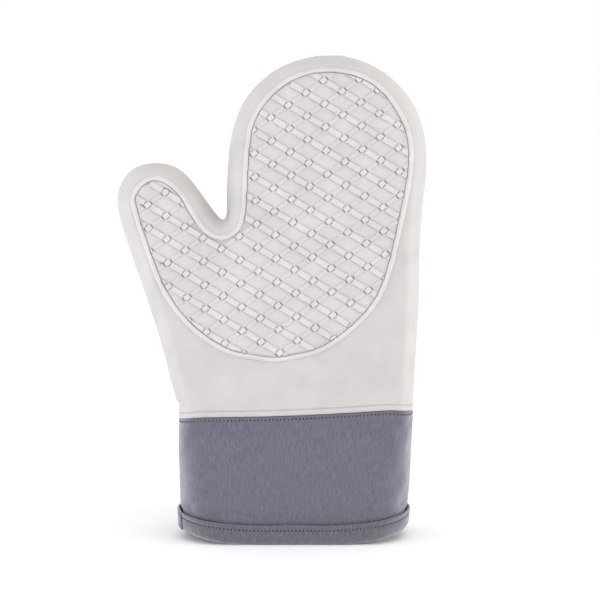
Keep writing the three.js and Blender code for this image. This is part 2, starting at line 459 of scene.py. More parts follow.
def face_patch(band, foot_rows, relief, inset, fill):
    """The flat of the face, inside the band and above the foot patch, as vertices and triangles."""
    feet = len(foot_rows)
    border = np.vstack([band[-1, feet - 1:band.shape[1] - feet + 1], foot_rows[-1, ::-1][1:-1]])
    flat_border = border[:, (0, 2)]
    points = [Vector(p) for p in np.vstack([flat_border, inside_seeds(flat_border, fill)])]
    flat, _, triangles, origins = delaunay_2d_cdt(points, [], [list(range(len(border)))], 1, 1e-7)[:4]
    flat = np.array([tuple(p) for p in flat])
    y = face_y(flat[:, 0], flat[:, 1], relief, inset)
    for index, source in enumerate(origins):
        if source and source[0] < len(border):
            y[index] = border[source[0], 1]
    return list(np.column_stack([flat[:, 0], y, flat[:, 1]])), triangles


def hand_skin(foot, rows_mm, relief, inset=0.0, spacing=1.6 * MM, fill=4.5 * MM):
    """The palm side's surface at an inset, from the curve foot(x) upwards, as vertices and faces.
    rows_mm are the heights above the foot that get a row of their own, and relief(x, z) is how far
    the surface stands proud there."""
    rows = np.array(rows_mm) * MM
    band = edge_band(edge_line(foot, rows, spacing), foot, rows, relief, inset)
    foot_rows = foot_patch(band, foot, rows, relief, inset)
    parts = Parts()
    parts.add_grid(band)
    parts.add_grid(foot_rows)
    parts.add(*face_patch(band, foot_rows, relief, inset, fill))
    return facing_palm(parts)


def foot_corner(side, foot, rise):
    """Where a foot row meets the mitt's edge at one side."""
    x = side_x(side, foot(side_x(side, SHOULDER)) + rise)
    return x, foot(x) + rise


def inside_seeds(border, spacing):
    """A hexagonal scatter of points well inside a border."""
    low, high = border.min(0), border.max(0)
    seeds = []
    for r, z in enumerate(np.arange(low[1] + spacing, high[1], spacing * 0.87)):
        shift = (r % 2) * spacing / 2
        seeds.extend([(x, z) for x in np.arange(low[0] + shift, high[0], spacing)])
    seeds = np.array(seeds)
    seeds = seeds[points_in(border, seeds)]
    far = np.array([np.min(np.hypot(*(border - s).T)) > spacing * 0.55 for s in seeds])
    return seeds[far]


def points_in(polygon, points):
    """Which points lie inside a closed polygon."""
    x, z = points[:, 0], points[:, 1]
    inside = np.zeros(len(points), bool)
    for (x1, z1), (x2, z2) in zip(polygon, np.roll(polygon, -1, axis=0)):
        crosses = (z1 > z) != (z2 > z)
        with np.errstate(divide="ignore", invalid="ignore"):
            at = (x2 - x1) * (z - z1) / (z2 - z1) + x1
        inside ^= crosses & (x < at)
    return inside


def facing_palm(parts):
    """Welds the patches and turns every face towards the palm side or outwards."""
    mesh = bmesh.new()
    made = [mesh.verts.new(v) for v in parts.vertices]
    for face in parts.faces:
        try:
            mesh.faces.new([made[k] for k in face])
        except ValueError:
            continue
    bmesh.ops.remove_doubles(mesh, verts=mesh.verts, dist=0.06 * MM)
    bmesh.ops.recalc_face_normals(mesh, faces=mesh.faces)
    mesh.normal_update()
    if sum(f.normal.y * f.calc_area() for f in mesh.faces) > 0:
        bmesh.ops.reverse_faces(mesh, faces=mesh.faces)
    mesh.verts.index_update()
    vertices = [v.co.copy() for v in mesh.verts]
    faces = [tuple(v.index for v in f.verts) for f in mesh.faces]
    mesh.free()
    return vertices, faces


# ---- Rows and strips round the cuff ----

EDGE_STATIONS = 9
FLAT_STATIONS = 56


def palm_row(height, inset, proud=None, parting=0.0):
    """The palm half of a horizontal section at an inset, from the thumb side's mid-plane to the other
    side's. height(x) is the row's height and proud(x, z) lifts the row off the surface."""
    turn = np.linspace(0, math.pi / 2, EDGE_STATIONS)
    ends = {}
    for side in (-1, 1):
        z = np.full(EDGE_STATIONS, float(height(side_x(side, 40 * MM))))
        for _ in range(3):
            d = inset + edge_width(z) * (1 - np.cos(turn))
            x = side_x(side, z) - side * d
            z = height(x)
        ends[side] = (x, z, d)
    x = np.linspace(ends[-1][0][-1], ends[1][0][-1], FLAT_STATIONS + 1)[1:-1]
    z = height(x)
    d = np.minimum(x - side_x(-1, z), side_x(1, z) - x)
    xs, zs, ds = (np.concatenate([left, middle, right[::-1]])
                  for left, middle, right in zip(ends[-1], (x, z, d), ends[1]))
    angle = np.concatenate([turn, np.full(len(x), math.pi / 2), turn[::-1]])
    outward = np.sign(xs - MIDDLE_X) * np.cos(angle)
    lift = 0 if proud is None else proud(xs, zs)
    depth = (flat_depth(xs, zs, ds) - inset + lift) * np.sin(angle)
    return np.column_stack([xs + outward * lift, -depth - parting, zs])


def full_row(height, inset, proud=None):
    """A whole section round the mouth, closed."""
    palm = palm_row(height, inset, proud)
    return np.vstack([palm, palm[-2:0:-1] * (1, -1, 1)])


def half_strip(profile, base):
    """A closed band along the palm half, from a profile of (inset, rise above base)."""
    rows = [palm_row(lambda x, rise=rise: base(x) + rise, inset, parting=PARTING) for inset, rise in profile]
    grid = np.array(rows)
    n, columns = grid.shape[:2]
    faces = grid_faces(n, columns, closed_rows=True)
    faces.append(tuple(k * columns for k in range(n)))
    faces.append(tuple(k * columns + columns - 1 for k in reversed(range(n))))
    return list(grid.reshape(-1, 3)), faces


def waves(place, seed, lengths_mm, size_mm):
    """A few sine waves with unrelated lengths, for the small unevenness of sewn cloth."""
    total = 0
    for k, length in enumerate(lengths_mm):
        total = total + np.sin(2 * math.pi * place / (length * MM) + seed * (1.7 + k * 2.3))
    return total * size_mm * MM / len(lengths_mm)


# ---- Cuff ----

SEAM_ROWS_MM = (0, 0.12, 0.4, 0.8, 1.3, 1.6, 1.85, 2.1, 2.35, 2.6, 3.0, 3.7, 5.0)
SEAM_STITCH_MM = 2.1
HEM_STITCH_MM = 3.0
PANEL_ROWS = 30
PUFF = 0.9 * MM
SETTLING_STEPS = 18
SETTLING_CAP = 1.6 * MM
CLOTH_SETTINGS = {
    "quality": 10, "mass": 0.2, "tension_stiffness": 12, "compression_stiffness": 12, "shear_stiffness": 4,
    "bending_stiffness": 0.4, "vertex_group_mass": "pinned", "shrink_min": -0.035, "use_pressure": True,
    "uniform_pressure_force": 0.6,
}


def cuff_foot(x):
    return mouth_height(x) + 1.8 * MM


def panel_relief(x, z):
    """A soft bulge between the two rows of stitches, the dent under the upper one and the turned edge."""
    below_seam = seam_height(x) - z
    hem_top = mouth_height(x) + BINDING_HEIGHT
    share = np.clip((z - hem_top) / (seam_height(x) - hem_top), 0, 1)
    bulge = PUFF * np.sin(math.pi * share) ** 0.7
    dent = -0.35 * MM * np.exp(-((below_seam - SEAM_STITCH_MM * MM) / (0.55 * MM)) ** 2)
    tucked = -1.3 * MM * np.exp(-(np.maximum(0, z - hem_top + 0.5 * MM) / (1.8 * MM)) ** 2)
    turned = -0.7 * MM * np.maximum(0, 1 - below_seam / (0.8 * MM)) ** 2
    uneven = waves(x + 0.4 * z, 1.0, (31, 47, 19), 0.35) * np.sin(math.pi * share)
    return bulge + dent + turned + uneven + tucked


def panel_grid():
    """The outer face of the palm cuff panel, from its foot in the hem up to its top edge."""
    rows = []
    for share in np.linspace(0, 1, PANEL_ROWS, endpoint=False):
        top = lambda x: seam_height(x) - SEAM_ROWS_MM[-1] * MM
        rows.append(palm_row(lambda x: cuff_foot(x) + share * (top(x) - cuff_foot(x)), CUFF_INSET,
                             panel_relief, PARTING))
    for drop in reversed(SEAM_ROWS_MM):
        rows.append(palm_row(lambda x: seam_height(x) - drop * MM, CUFF_INSET, panel_relief, PARTING))
    return np.array(rows)


def settled(vertices, faces):
    """Lets the panel's cloth settle between its rows of stitches, as slightly full, padded cloth does.
    The rows and the side seams are pinned, and nothing moves further than the cap."""
    obj = make_object("settling_panel", vertices, faces)
    pinned = obj.vertex_groups.new(name="pinned")
    for k, (x, y, z) in enumerate(vertices):
        above_hem = z - mouth_height(x) - BINDING_HEIGHT
        room = min(seam_height(x) - z - 3.5 * MM, above_hem - 1 * MM, (abs(y) - 8 * MM) / 2)
        pinned.add([k], 1 - float(smoothstep(room / (5 * MM))), "REPLACE")
    cloth = obj.modifiers.new("cloth", "CLOTH")
    cloth.collision_settings.use_collision = False
    for key, value in CLOTH_SETTINGS.items():
        setattr(cloth.settings, key, value)
    cloth.settings.effector_weights.gravity = 0
    for step in range(1, SETTLING_STEPS + 1):
        bpy.context.scene.frame_set(step)
    shown = obj.evaluated_get(bpy.context.evaluated_depsgraph_get())
    after = np.array([tuple(v.co) for v in shown.data.vertices])
    bpy.context.scene.frame_set(1)
    bpy.data.objects.remove(obj, do_unlink=True)
    moved = after - np.array(vertices)
    distance = np.maximum(np.linalg.norm(moved, axis=1), 1e-9)[:, None]
    moved *= np.minimum(1, SETTLING_CAP / distance)
    return list(np.array(vertices) + moved)


def cuff_panel(side):
    surface = Parts()
    surface.add_grid(panel_grid())
    vertices = settled(surface.vertices, surface.faces)
    skin, closed = thicken(vertices, surface.faces, lambda place: CUFF_CLOTH)
    palm = Parts()
    palm.add(skin, closed, surface.weave + surface.weave)
    return mirror_if_back(palm, side)


# ---- Hem binding ----

CHANNEL_OUTER = CUFF_INSET - GAP
CHANNEL_INNER = LINING_INSET + LINING + GAP
LAP_END = MIDDLE_X - HALF_WIDTH + 2.4 * MM
# The outer face of the binding's outer leg, as (inset, rise) in mm: it leans off the cuff at its top.
OUTER_LEG_MM = ((0.55, 11.7), (0.3, 12.1), (-0.15, 12.2), (-0.5, 11.8), (-0.55, 11.0), (-0.35, 10.0),
                (0.1, 9.3), (0.28, 9.0), (0.1, 8.7), (-0.25, 7.6), (-0.35, 5.8), (-0.15, 3.8), (0.3, 2.0),
                (1.1, 0.8), (2.3, 0.12), (3.4, 0.0))


def binding_profile():
    """(inset, rise) points round the folded strip: down outside, up inside, and back through the fold."""
    outer = CHANNEL_OUTER - BINDING
    inner = CHANNEL_INNER + BINDING
    down = [(outer + inset * MM, rise * MM) for inset, rise in OUTER_LEG_MM]
    up = [(inner - 3.4 * MM, 0), (inner - 1.1 * MM, 0.6 * MM), (inner, 2.2 * MM), (inner, 11.5 * MM),
          (inner - 0.4 * MM, 12 * MM), (CHANNEL_INNER, 11.8 * MM), (CHANNEL_INNER, 2.6 * MM)]
    fold = [(CHANNEL_INNER - 1.2 * MM, 1.5 * MM), (CHANNEL_OUTER + 1.2 * MM, 1.5 * MM),
            (CHANNEL_OUTER, 2.6 * MM), (CHANNEL_OUTER, 8.6 * MM), (CHANNEL_OUTER - 0.6 * MM, 10.4 * MM)]
    return down + up + fold


def binding_unevenness(x, z):
    """Small waves along the strip, and a lean off the cuff near its top at the thumb side."""
    rise = np.clip((z - mouth_height(x)) / BINDING_HEIGHT, 0, 1)
    from_side = x - (MIDDLE_X - HALF_WIDTH)
    near_side = smoothstep((26 * MM - from_side) / (14 * MM)) * smoothstep(from_side / (4 * MM))
    return waves(x, 2.0, (23, 37, 11), 0.3) + 0.9 * MM * rise ** 3 * near_side


def hem_binding():
    rows = []
    for inset, rise in binding_profile():
        def height(x, rise=rise):
            return mouth_height(x) + rise + waves(x, 3.0, (29, 41), 0.22) * rise / BINDING_HEIGHT

        rows.append(full_row(height, inset, binding_unevenness))
    parts = Parts()
    parts.add_grid(np.array(rows), closed_rows=True, closed_columns=True)
    parts.add(*lapped_end())
    return parts


def lap_top(x):
    """The free end's top edge, which stays just under the top of the strip below it."""
    return BINDING_HEIGHT - 0.9 * MM + 0.4 * MM * smoothstep((LAP_END - x) / (3 * MM))


def lapped_end():
    """The binding's end, laid over its own start on the palm side."""
    surface = Parts()
    rows = []
    for share in np.linspace(0, 1, 15):
        lift = lambda x: mouth_height(x) + 1.2 * MM + share * (lap_top(x) - 1.2 * MM)
        away = lambda x, z: (LAP_CLOTH + binding_unevenness(x, z)
                             + 0.2 * MM * smoothstep((share - 0.6) / 0.4))
        row = palm_row(lift, CHANNEL_OUTER - BINDING, away)
        rows.append(row[row[:, 0] < LAP_END])
    shortest = min(len(row) for row in rows)
    surface.add_grid(np.array([row[:shortest] for row in rows]))
    skin, closed = thicken(surface.vertices, surface.faces, lambda place: 0.85 * LAP_CLOTH)
    return skin, closed, surface.weave + surface.weave


# ---- Stitches ----

# (share of the length, share of the radius) of the rings of one stitch.
STITCH_RINGS = ((0, 0.35), (0.08, 0.8), (0.28, 1.05), (0.5, 0.95), (0.72, 1.05), (0.92, 0.8), (1, 0.35))


def capsule_stitch(start, end, outward, radius, arch):
    """One stitch: a thin arched thread between two needle holes, closed at its ends."""
    along = end - start
    across = np.cross(along, outward)
    across /= np.linalg.norm(across)
    rings = []
    for share, size in STITCH_RINGS:
        centre = start + along * share + outward * arch * math.sin(math.pi * share)
        for k in range(6):
            angle = math.pi / 3 * k
            rings.append(centre + (across * math.cos(angle) + outward * math.sin(angle)) * radius * size)
    faces = grid_faces(7, 6, closed_columns=True)
    faces += [tuple(range(6))[::-1], tuple(range(36, 42))]
    return rings, faces


def stitch_row(path, outwards, length=1.6 * MM, radius=0.3 * MM):
    """Stitches at an even pitch along a closed path, each a little askew, with a near-black disc of painted
    shade in the needle holes between them.
    """
    loop = np.vstack([path, path[:1]])
    facing = np.vstack([outwards, outwards[:1]])
    walked = np.concatenate([[0], np.cumsum(np.linalg.norm(np.diff(loop, axis=0), axis=1))])
    count = int(walked[-1] / STITCH_PITCH)
    pitch = walked[-1] / count
    at = lambda table, place: np.array([np.interp(place, walked, table[:, k]) for k in range(3)])
    parts = Parts()
    for k in range(count):
        middle = (k + 0.5) * pitch
        outward = at(facing, middle)
        outward /= np.linalg.norm(outward)
        start, end = at(loop, middle - length / 2), at(loop, middle + length / 2)
        slant = np.array([0, 0, (0.16 + 0.22 * math.sin(k * 2.4)) * MM])
        parts.add(*capsule_stitch(start - slant, end + slant, outward, radius, 0.3 * MM))
        ahead = at(facing, (k + 1) * pitch % walked[-1])
        # The near-black disc between each two stitches is painted shade, where the shadow in the needle holes
        # falls.
        hole_shade_disc = painted_hole_shade(at(loop, (k + 1) * pitch % walked[-1]), ahead / np.linalg.norm(ahead), end - start)
        parts.add(*hole_shade_disc, material_index=1)
    return parts


def painted_hole_shade(centre, outward, along):
    """A small dark button of shadow that fills the dent between two stitches."""
    along = along / np.linalg.norm(along)
    across = np.cross(along, outward)
    rings = []
    for size, lift in ((0.5, -0.4), (0.5, 0.05), (0.3, 0.16)):
        for k in range(8):
            angle = math.pi / 4 * k
            rim = along * math.cos(angle) + across * 1.25 * math.sin(angle)
            rings.append(centre + rim * size * MM + outward * lift * MM)
    return rings, grid_faces(3, 8, closed_columns=True) + [tuple(range(8))[::-1], tuple(range(16, 24))]


def row_with_outwards(height, inset, proud=None):
    near, far = full_row(height, inset, proud), full_row(height, inset - 0.5 * MM, proud)
    return near, far - near


def seam_stitches():
    height = lambda x: seam_height(x) - SEAM_STITCH_MM * MM
    return stitch_row(*row_with_outwards(height, CUFF_INSET - 0.05 * MM))


def hem_stitches():
    def over_lap(x, z):
        return binding_unevenness(x, z) + LAP_CLOTH * smoothstep((LAP_END - x) / (1 * MM))

    height = lambda x: mouth_height(x) + BINDING_HEIGHT - HEM_STITCH_MM * MM
    inset = CHANNEL_OUTER - BINDING + 0.1 * MM
    path, outwards = row_with_outwards(height, inset, over_lap)
    single = full_row(height, inset, binding_unevenness)
    return stitch_row(np.where(path[:, 1:2] < 0, path, single), outwards)


def side_seam(side):
    """The stitches of the seam between the two cuff panels, inside the cloth at one side."""
    parts = Parts()
    inset = CUFF_INSET + 1.6 * MM + GAP + 0.6 * MM
    x = side_x(side, 40 * MM)
    foot, top = float(cuff_foot(x)) + 0.5 * MM, float(seam_height(x)) - 11 * MM
    outward = np.array([float(side), 0, 0])
    for z in np.arange(foot, top - 2 * MM, STITCH_PITCH):
        start = np.array([side_x(side, z) - side * inset, 0, z])
        end = start + (0, 0, 1.9 * MM)
        parts.add(*capsule_stitch(start, end, outward, 0.35 * MM, 0.05 * MM))
    return parts


# ---- Wadding and lining ----

QUILT_PITCH = 32 * MM
INNER_ROWS_MM = (0, 2, 6, 12)


def quilting(place):
    """0 on the quilting lines, which cross in diamonds, and 1 in the middle of each puff."""
    a = (place[0] + place[2]) / QUILT_PITCH
    b = (place[0] - place[2]) / QUILT_PITCH
    return (abs(math.sin(math.pi * a)) * abs(math.sin(math.pi * b))) ** 0.5


def lining_half(side):
    skin = hand_skin(lambda x: mouth_height(x) + LINER_FOOT, INNER_ROWS_MM, lambda x, z: 0 * x,
                     LINING_INSET, 2.4 * MM, 3.4 * MM)
    palm = Parts()
    palm.add(*thicken(*skin, lambda place: 0.8 * MM + 1.5 * MM * quilting(place)))
    return mirror_if_back(palm, side)


def wadding_relief(x, z):
    """The wadding steps back where it passes inside the silicone's flange."""
    step = smoothstep((seam_height(x) + 4.6 * MM - z) / (1.5 * MM))
    return -(CUFF_WADDING_INSET - SILICONE - GAP) * step


def wadding_half(side):
    skin = hand_skin(lambda x: mouth_height(x) + LINER_FOOT, INNER_ROWS_MM, wadding_relief,
                     SILICONE + GAP, 2.4 * MM, 4 * MM)

    def thickness(place):
        in_cuff = float(smoothstep((SHOULDER + 8 * MM - place[2]) / (4 * MM)))
        return WADDING - 0.1 * MM - (CUFF_WADDING_INSET - SILICONE - GAP) * in_cuff

    palm = Parts()
    palm.add(*thicken(*skin, thickness))
    return mirror_if_back(palm, side)


# ---- Silicone ----

def lip_relief(x, z):
    """The lip's rolled lower edge, its slightly proud face, and the groove above it."""
    h = z - silicone_foot(x)
    rolled = -0.9 * MM * np.maximum(0, 1 - h / (0.7 * MM)) ** 2
    groove_at, groove_half = 3.4 * MM, 0.45 * MM
    groove = -0.75 * MM * np.maximum(0, 1 - ((h - groove_at) / groove_half) ** 2)
    lip = np.where(h < groove_at, 0.45 * MM, 0)
    return rolled + groove + lip


def silicone_foot(x):
    return seam_height(x) + 0.1 * MM


BEAD_TOP_EDGE = 0.8 * MM


def inward_normals(path):
    """Unit vectors pointing into a closed path, one for each of its points."""
    along = np.roll(path, -1, axis=0) - np.roll(path, 1, axis=0)
    along /= np.linalg.norm(along, axis=1)[:, None]
    normals = np.column_stack([-along[:, 1], along[:, 0]])
    inside = points_in(path, path[:1] + normals[:1] * 2 * MM)[0]
    return normals if inside else -normals


def bead_path():
    """The bead's centreline, from the outer border of the bead's flat top in the CAD."""
    def rise(point):
        return -point[1] - (MOUTH_HALF_DEPTH - DEPTH_TAPER * point[2])

    hand = [v.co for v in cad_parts["silicone_palm_shell"].data.vertices if v.co.z > 100 * MM]
    proud = max(rise(point) for point in hand)
    loops = region_loops("silicone_palm_shell", lambda point: rise(point) > proud - 0.1 * MM)
    outer = max((smooth_path(loop[:, (0, 2)], 1 * MM, closed=True) for loop in loops), key=len)
    n = len(outer)
    outer = eased(np.vstack([outer[-20:], outer, outer[:20]]), 3 * MM)[20:20 + n]
    return smooth_path((outer + inward_normals(outer) * BEAD_TOP_EDGE)[::3], 1.3 * MM, closed=True)


BEAD = bead_path()
BEAD_INWARD = inward_normals(BEAD)


def bead_ring():
    """A rounded ridge along the bead's path, steeper on its inner side."""
    profile = [(-1.35, -0.7), (-1.2, -0.02), (-1.0, 0.3), (-0.75, 0.72), (-0.4, 0.95), (0.0, 1.0),
               (0.4, 0.92), (0.7, 0.66), (0.86, 0.2), (0.95, -0.7)]
    rows = []
    for offset, height in profile:
        flat = BEAD + BEAD_INWARD * (offset * BEAD_WIDTH / 2)
        depth = depth_on_face(flat[:, 0], flat[:, 1]) + height * BEAD_HEIGHT
        rows.append(np.column_stack([flat[:, 0], -depth - PARTING, flat[:, 1]]))
    return np.array(rows)


def rounded_bar(half_length, half_width, radius, corner_steps=3):
    """A convex outline in bar coordinates: a rectangle with round corners."""
    outline = []
    for quarter, (sx, sy) in enumerate(((1, 1), (-1, 1), (-1, -1), (1, -1))):
        for step in range(corner_steps + 1):
            angle = math.pi / 2 * (quarter + step / corner_steps)
            outline.append((sx * (half_length - radius) + radius * math.cos(angle),
                            sy * (half_width - radius) + radius * math.sin(angle)))
    return np.array(outline)


def clipped(polygon, point, inward):
    """The part of a convex polygon on the inner side of a line."""
    side = (polygon - point) @ inward
    kept = []
    for k in range(len(polygon)):
        a, b = polygon[k - 1], polygon[k]
        sa, sb = side[k - 1], side[k]
        if sa * sb < 0:
            kept.append(a + (b - a) * sa / (sa - sb))
        if sb >= 0:
            kept.append(b)
    return np.array(kept)


def shrunk(polygon, inset, axis):
    """A polygon drawn in by an inset towards the middle of its extent along an axis and across it."""
    frame_axes = np.array([axis, (-axis[1], axis[0])])
    local = polygon @ frame_axes.T
    middle = (local.min(0) + local.max(0)) / 2
    half = (local.max(0) - local.min(0)) / 2
    return (middle + (local - middle) * np.maximum(0.15, 1 - inset / half)) @ frame_axes


def raised_element(polygon, axis, rings_mm, middle_mm):
    """A little raised body: rings of (inset, height) over the polygon, closed below and above."""
    n = len(polygon)
    rings = [shrunk(polygon, inset * MM, axis) for inset, _ in rings_mm]
    flat = np.vstack(rings + [rings[-1].mean(0)[None, :]])
    height = np.repeat([h * MM for _, h in rings_mm] + [middle_mm * MM], [n] * len(rings_mm) + [1])
    centre = len(flat) - 1
    faces = grid_faces(len(rings_mm), n, closed_columns=True)
    faces += [((len(rings_mm) - 1) * n + k, (len(rings_mm) - 1) * n + (k + 1) % n, centre) for k in range(n)]
    faces.append(tuple(range(n))[::-1])
    return flat, height, faces


# Rings of (inset, rise) in mm, and the rise of the middle, for each kind of raised element.
BAR_RINGS = ((0, -0.6), (0.02, 1.1), (0.14, 1.42), (0.38, 1.54), (0.8, 1.32))
CROSS_BAR_RINGS = ((0, -0.6), (0.04, 0.72), (0.25, 0.93), (0.7, 1.0))
KNOT_RINGS = ((0, -0.6), (0.03, 1.05), (0.16, 1.3), (0.45, 1.42))
PAD_RINGS = ((0, -0.6), (0.02, 0.54), (0.16, 0.65))
PAD_EDGE = 0.03 * MM
PAD_NOTCH = (1.35 * MM, 2.85 * MM)

# Enough cells to cover the grip panel from the first crossing.
STEPS_ALONG_A = range(-6, 18)
STEPS_ALONG_B = range(-16, 8)


def pad_outline():
    """A pad fills its cell up to the middle of the bars, less a notch round each knot."""
    half_a, half_b = LATTICE_A.length / 2 - PAD_EDGE, LATTICE_B.length / 2 - PAD_EDGE
    in_a, in_b = half_a - PAD_NOTCH[0], half_b - PAD_NOTCH[1]
    corners = []
    for sa, sb in ((1, 1), (-1, 1), (-1, -1), (1, -1)):
        notch = [(sa * half_a, sb * in_b), (sa * in_a, sb * in_b), (sa * in_a, sb * half_b)]
        corners += notch if sa * sb > 0 else notch[::-1]
    outline = []
    for (a1, b1), (a2, b2) in zip(corners, corners[1:] + corners[:1]):
        steps = max(1, round(math.hypot(a2 - a1, b2 - b1) / (2.2 * MM)))
        outline += [(a1 + (a2 - a1) * k / steps, b1 + (b2 - b1) * k / steps) for k in range(steps)]
    return np.array([a * A_AXIS + b * B_AXIS for a, b in outline])


def turned_to(axis, outline):
    return outline[:, :1] * axis + outline[:, 1:] * np.array([-axis[1], axis[0]])


def element_kinds():
    """(place in the cell, outline, its axis, rings, middle, material) of each kind of raised element."""
    knot = turned_to(B_AXIS, rounded_bar(1.95 * MM, 1.6 * MM, 0.5 * MM))
    bar = turned_to(A_AXIS, rounded_bar(4.3 * MM, 1.7 * MM, 0.6 * MM))
    cross_bar = turned_to(B_AXIS, rounded_bar(3.7 * MM, 1.4 * MM, 0.4 * MM))
    # Material 1 is the slightly paler silicone copy (painted light), material 2 the palest copy (painted
    # highlight).
    return (((0.5, 0.0), bar, A_AXIS, BAR_RINGS, 1.3, 2),
            ((0.0, 0.5), cross_bar, B_AXIS, CROSS_BAR_RINGS, 0.98, 1),
            ((0.0, 0.0), knot, B_AXIS, KNOT_RINGS, 1.43, 2),
            ((0.5, 0.5), pad_outline(), A_AXIS, PAD_RINGS, 0.65, 1))


def inside_bead(points, nearest):
    """How far inside the bead's path points lie, measured at the nearest point of the path."""
    return ((points - BEAD[nearest]) * BEAD_INWARD[nearest]).sum(1)


def nearest_on_bead(points):
    gaps = np.hypot(points[:, None, 0] - BEAD[None, :, 0], points[:, None, 1] - BEAD[None, :, 1])
    return gaps.argmin(1), gaps.min(1)


def trimmed_to_bead(polygon):
    """The part of an element inside the bead, or None where too little is left."""
    room = BEAD_WIDTH / 2 + 0.15 * MM
    nearest, _ = nearest_on_bead(polygon)
    for k in sorted(set(nearest[inside_bead(polygon, nearest) < room])):
        if len(polygon) >= 3:
            polygon = clipped(polygon, BEAD[k] + BEAD_INWARD[k] * room, BEAD_INWARD[k])
    if len(polygon) < 3 or polygon_area(polygon) < 0.9 * MM ** 2:
        return None
    nearest, _ = nearest_on_bead(polygon)
    if inside_bead(polygon, nearest).min() < room - 0.5 * MM:
        return None
    return polygon


def lattice_elements():
    """The raised elements of the grip panel, trimmed where they meet the bead."""
    shapes = []
    kinds = element_kinds()
    origin, step_a, step_b = np.array(LATTICE_CROSSING), np.array(LATTICE_A), np.array(LATTICE_B)
    for i in STEPS_ALONG_A:
        for j in STEPS_ALONG_B:
            for (di, dj), outline, axis, rings, middle, material_index in kinds:
                place = (origin + (i + di) * step_a + (j + dj) * step_b)[None, :]
                if nearest_on_bead(place)[1][0] > 9 * MM and not points_in(BEAD, place)[0]:
                    continue
                polygon = trimmed_to_bead(outline + place)
                if polygon is not None:
                    shapes.append((*raised_element(polygon, axis, rings, middle), material_index))
    return shapes


def polygon_area(polygon):
    x, z = polygon.T
    return abs(np.dot(x, np.roll(z, -1)) - np.dot(z, np.roll(x, -1))) / 2


def add_lattice(parts):
    """Lays the raised elements on the face and adds them to the silicone."""
    for flat, height, faces, material_index in lattice_elements():
        depth = depth_on_face(flat[:, 0], flat[:, 1]) + height
        vertices = list(np.column_stack([flat[:, 0], -depth - PARTING, flat[:, 1]]))
        parts.add(vertices, faces, material_index=material_index)


# (inset, rise above the seam) round the flange that the cuff is sewn to.
FLANGE_PROFILE_MM = ((2.0, -10), (2.0, 2.9), (3.2, 2.9), (3.2, -10))


def silicone_half(side):
    skin = hand_skin(silicone_foot, LIP_ROWS_MM, lip_relief)
    flange = [(inset * MM, rise * MM) for inset, rise in FLANGE_PROFILE_MM]
    palm = Parts()
    palm.add(*thicken(*skin, lambda place: SILICONE))
    palm.add(*half_strip(flange, seam_height))
    # The bead gets the palest silicone copy: painted highlight.
    palm.add_grid(bead_ring(), closed_rows=True, closed_columns=True, material_index=2)
    add_lattice(palm)
    return mirror_if_back(palm, side)


def mirror_if_back(palm, side):
    if side == "palm":
        return palm
    back = Parts()
    back.add(*mirrored(palm.vertices, palm.faces), palm.weave)
    back.material_index = palm.material_index
    return back


# ---- Materials ----

class Shader:
    """A material with a few short-hands for building its nodes."""

    def __init__(self, name, roughness, specular=0.5):
        self.material = bpy.data.materials.new(name)
        self.material.use_nodes = True
        self.nodes = self.material.node_tree.nodes
        self.links = self.material.node_tree.links
        self.surface = self.nodes["Principled BSDF"]
        self.set({"Roughness": roughness, "Specular IOR Level": specular})

    def set(self, values):
        for socket, value in values.items():
            self.surface.inputs[socket].default_value = value

    def add(self, kind, inputs=None, **settings):
        node = self.nodes.new(kind)
        for key, value in settings.items():
            setattr(node, key, value)
        for key, value in (inputs or {}).items():
            if isinstance(value, bpy.types.NodeSocket):
                self.links.new(value, node.inputs[key])
            else:
                node.inputs[key].default_value = value
        return node

    def noise(self, vector, scale, detail=2.0):
        node = self.add("ShaderNodeTexNoise", {"Vector": vector, "Scale": scale, "Detail": detail})
        return node.outputs["Fac"]

    def stretched(self, vector, scale):
        return self.add("ShaderNodeMapping", {"Vector": vector, "Scale": scale}).outputs["Vector"]

    def maths(self, operation, a, b):
        return self.add("ShaderNodeMath", {0: a, 1: b}, operation=operation).outputs[0]

    def ramp(self, factor, stops):
        node = self.add("ShaderNodeValToRGB", {"Fac": factor})
        for place, colour in stops[1:-1]:
            node.color_ramp.elements.new(place)
        for element, (place, colour) in zip(node.color_ramp.elements, stops):
            element.position = place
            element.color = (*colour, 1)
        return node.outputs["Color"]

    def bump(self, height, distance, strength=1.0):
        node = self.add("ShaderNodeBump", {"Height": height, "Distance": distance, "Strength": strength})
        self.links.new(node.outputs["Normal"], self.surface.inputs["Normal"])

    def colour(self, output):
        self.links.new(output, self.surface.inputs["Base Color"])


def silicone_material(name, painted_lightness):
    shader = Shader(name, 0.5, 0.4)
    place = shader.add("ShaderNodeTexCoord").outputs["Object"]
    cloudy = shader.noise(place, 60, 3)
    # Factors above 1 give a paler copy of the same one-colour silicone: painted highlight on the bars, knots
    # and bead, and painted light that lifts the shade round the cross bars and pads.
    tones = [tuple(painted_lightness * part for part in tone) for tone in (SILICONE_DEEP, SILICONE_PALE)]
    shader.colour(shader.ramp(cloudy, [(0.3, tones[0]), (0.7, tones[1])]))
    shader.bump(shader.noise(place, 2600, 2), 0.05 * MM, 0.5)
    shader.set({"Subsurface Weight": 0.12, "Subsurface Radius": (1, 0.8, 0.7), "Subsurface Scale": 1.5 * MM})
    return shader.material


